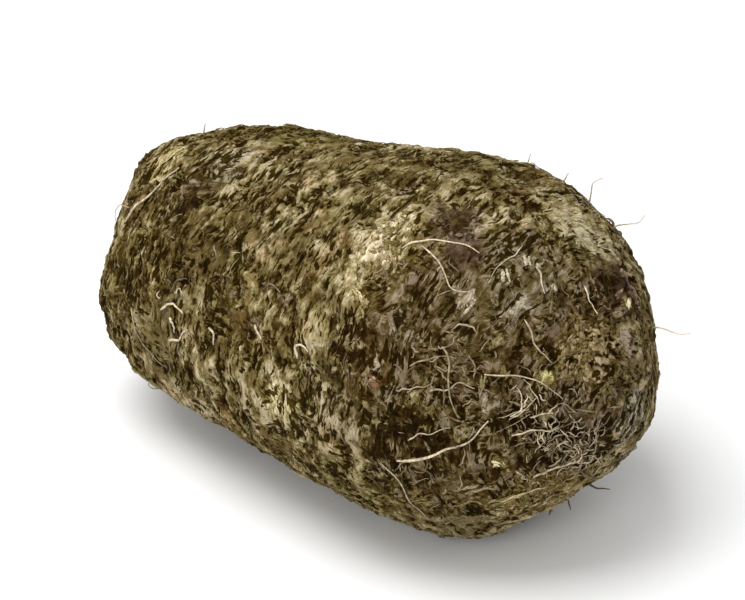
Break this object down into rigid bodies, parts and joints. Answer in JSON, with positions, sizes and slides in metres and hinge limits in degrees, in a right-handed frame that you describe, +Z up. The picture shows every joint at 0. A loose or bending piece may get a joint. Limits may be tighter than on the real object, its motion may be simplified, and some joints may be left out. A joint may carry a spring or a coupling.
{
  "type": "yam",
  "caption": "Whole yam tuber lying on its side: stout egg-shaped root with a broad growing tip, a narrower crown and rough brown bark with short rootlets.",
  "frame": {"origin": "on the ground, below the middle of the bounding box, with the yam lying on its side", "axes": "+X along the tuber from the crown to the growing tip, +Z up"},
  "size_m": [0.1648, 0.098, 0.0944],
  "materials": {
    "bark": "dull rough corky bark, olive brown over dark brown, cracked into small flakes",
    "rootlet": "dry dull pale straw-brown wiry rootlets",
    "cork_flake": "thin dry lifted flakes of bark, dull"
  },
  "bodies": {
    "root": {"tuber": "bark"}
  },
  "joints": []
}
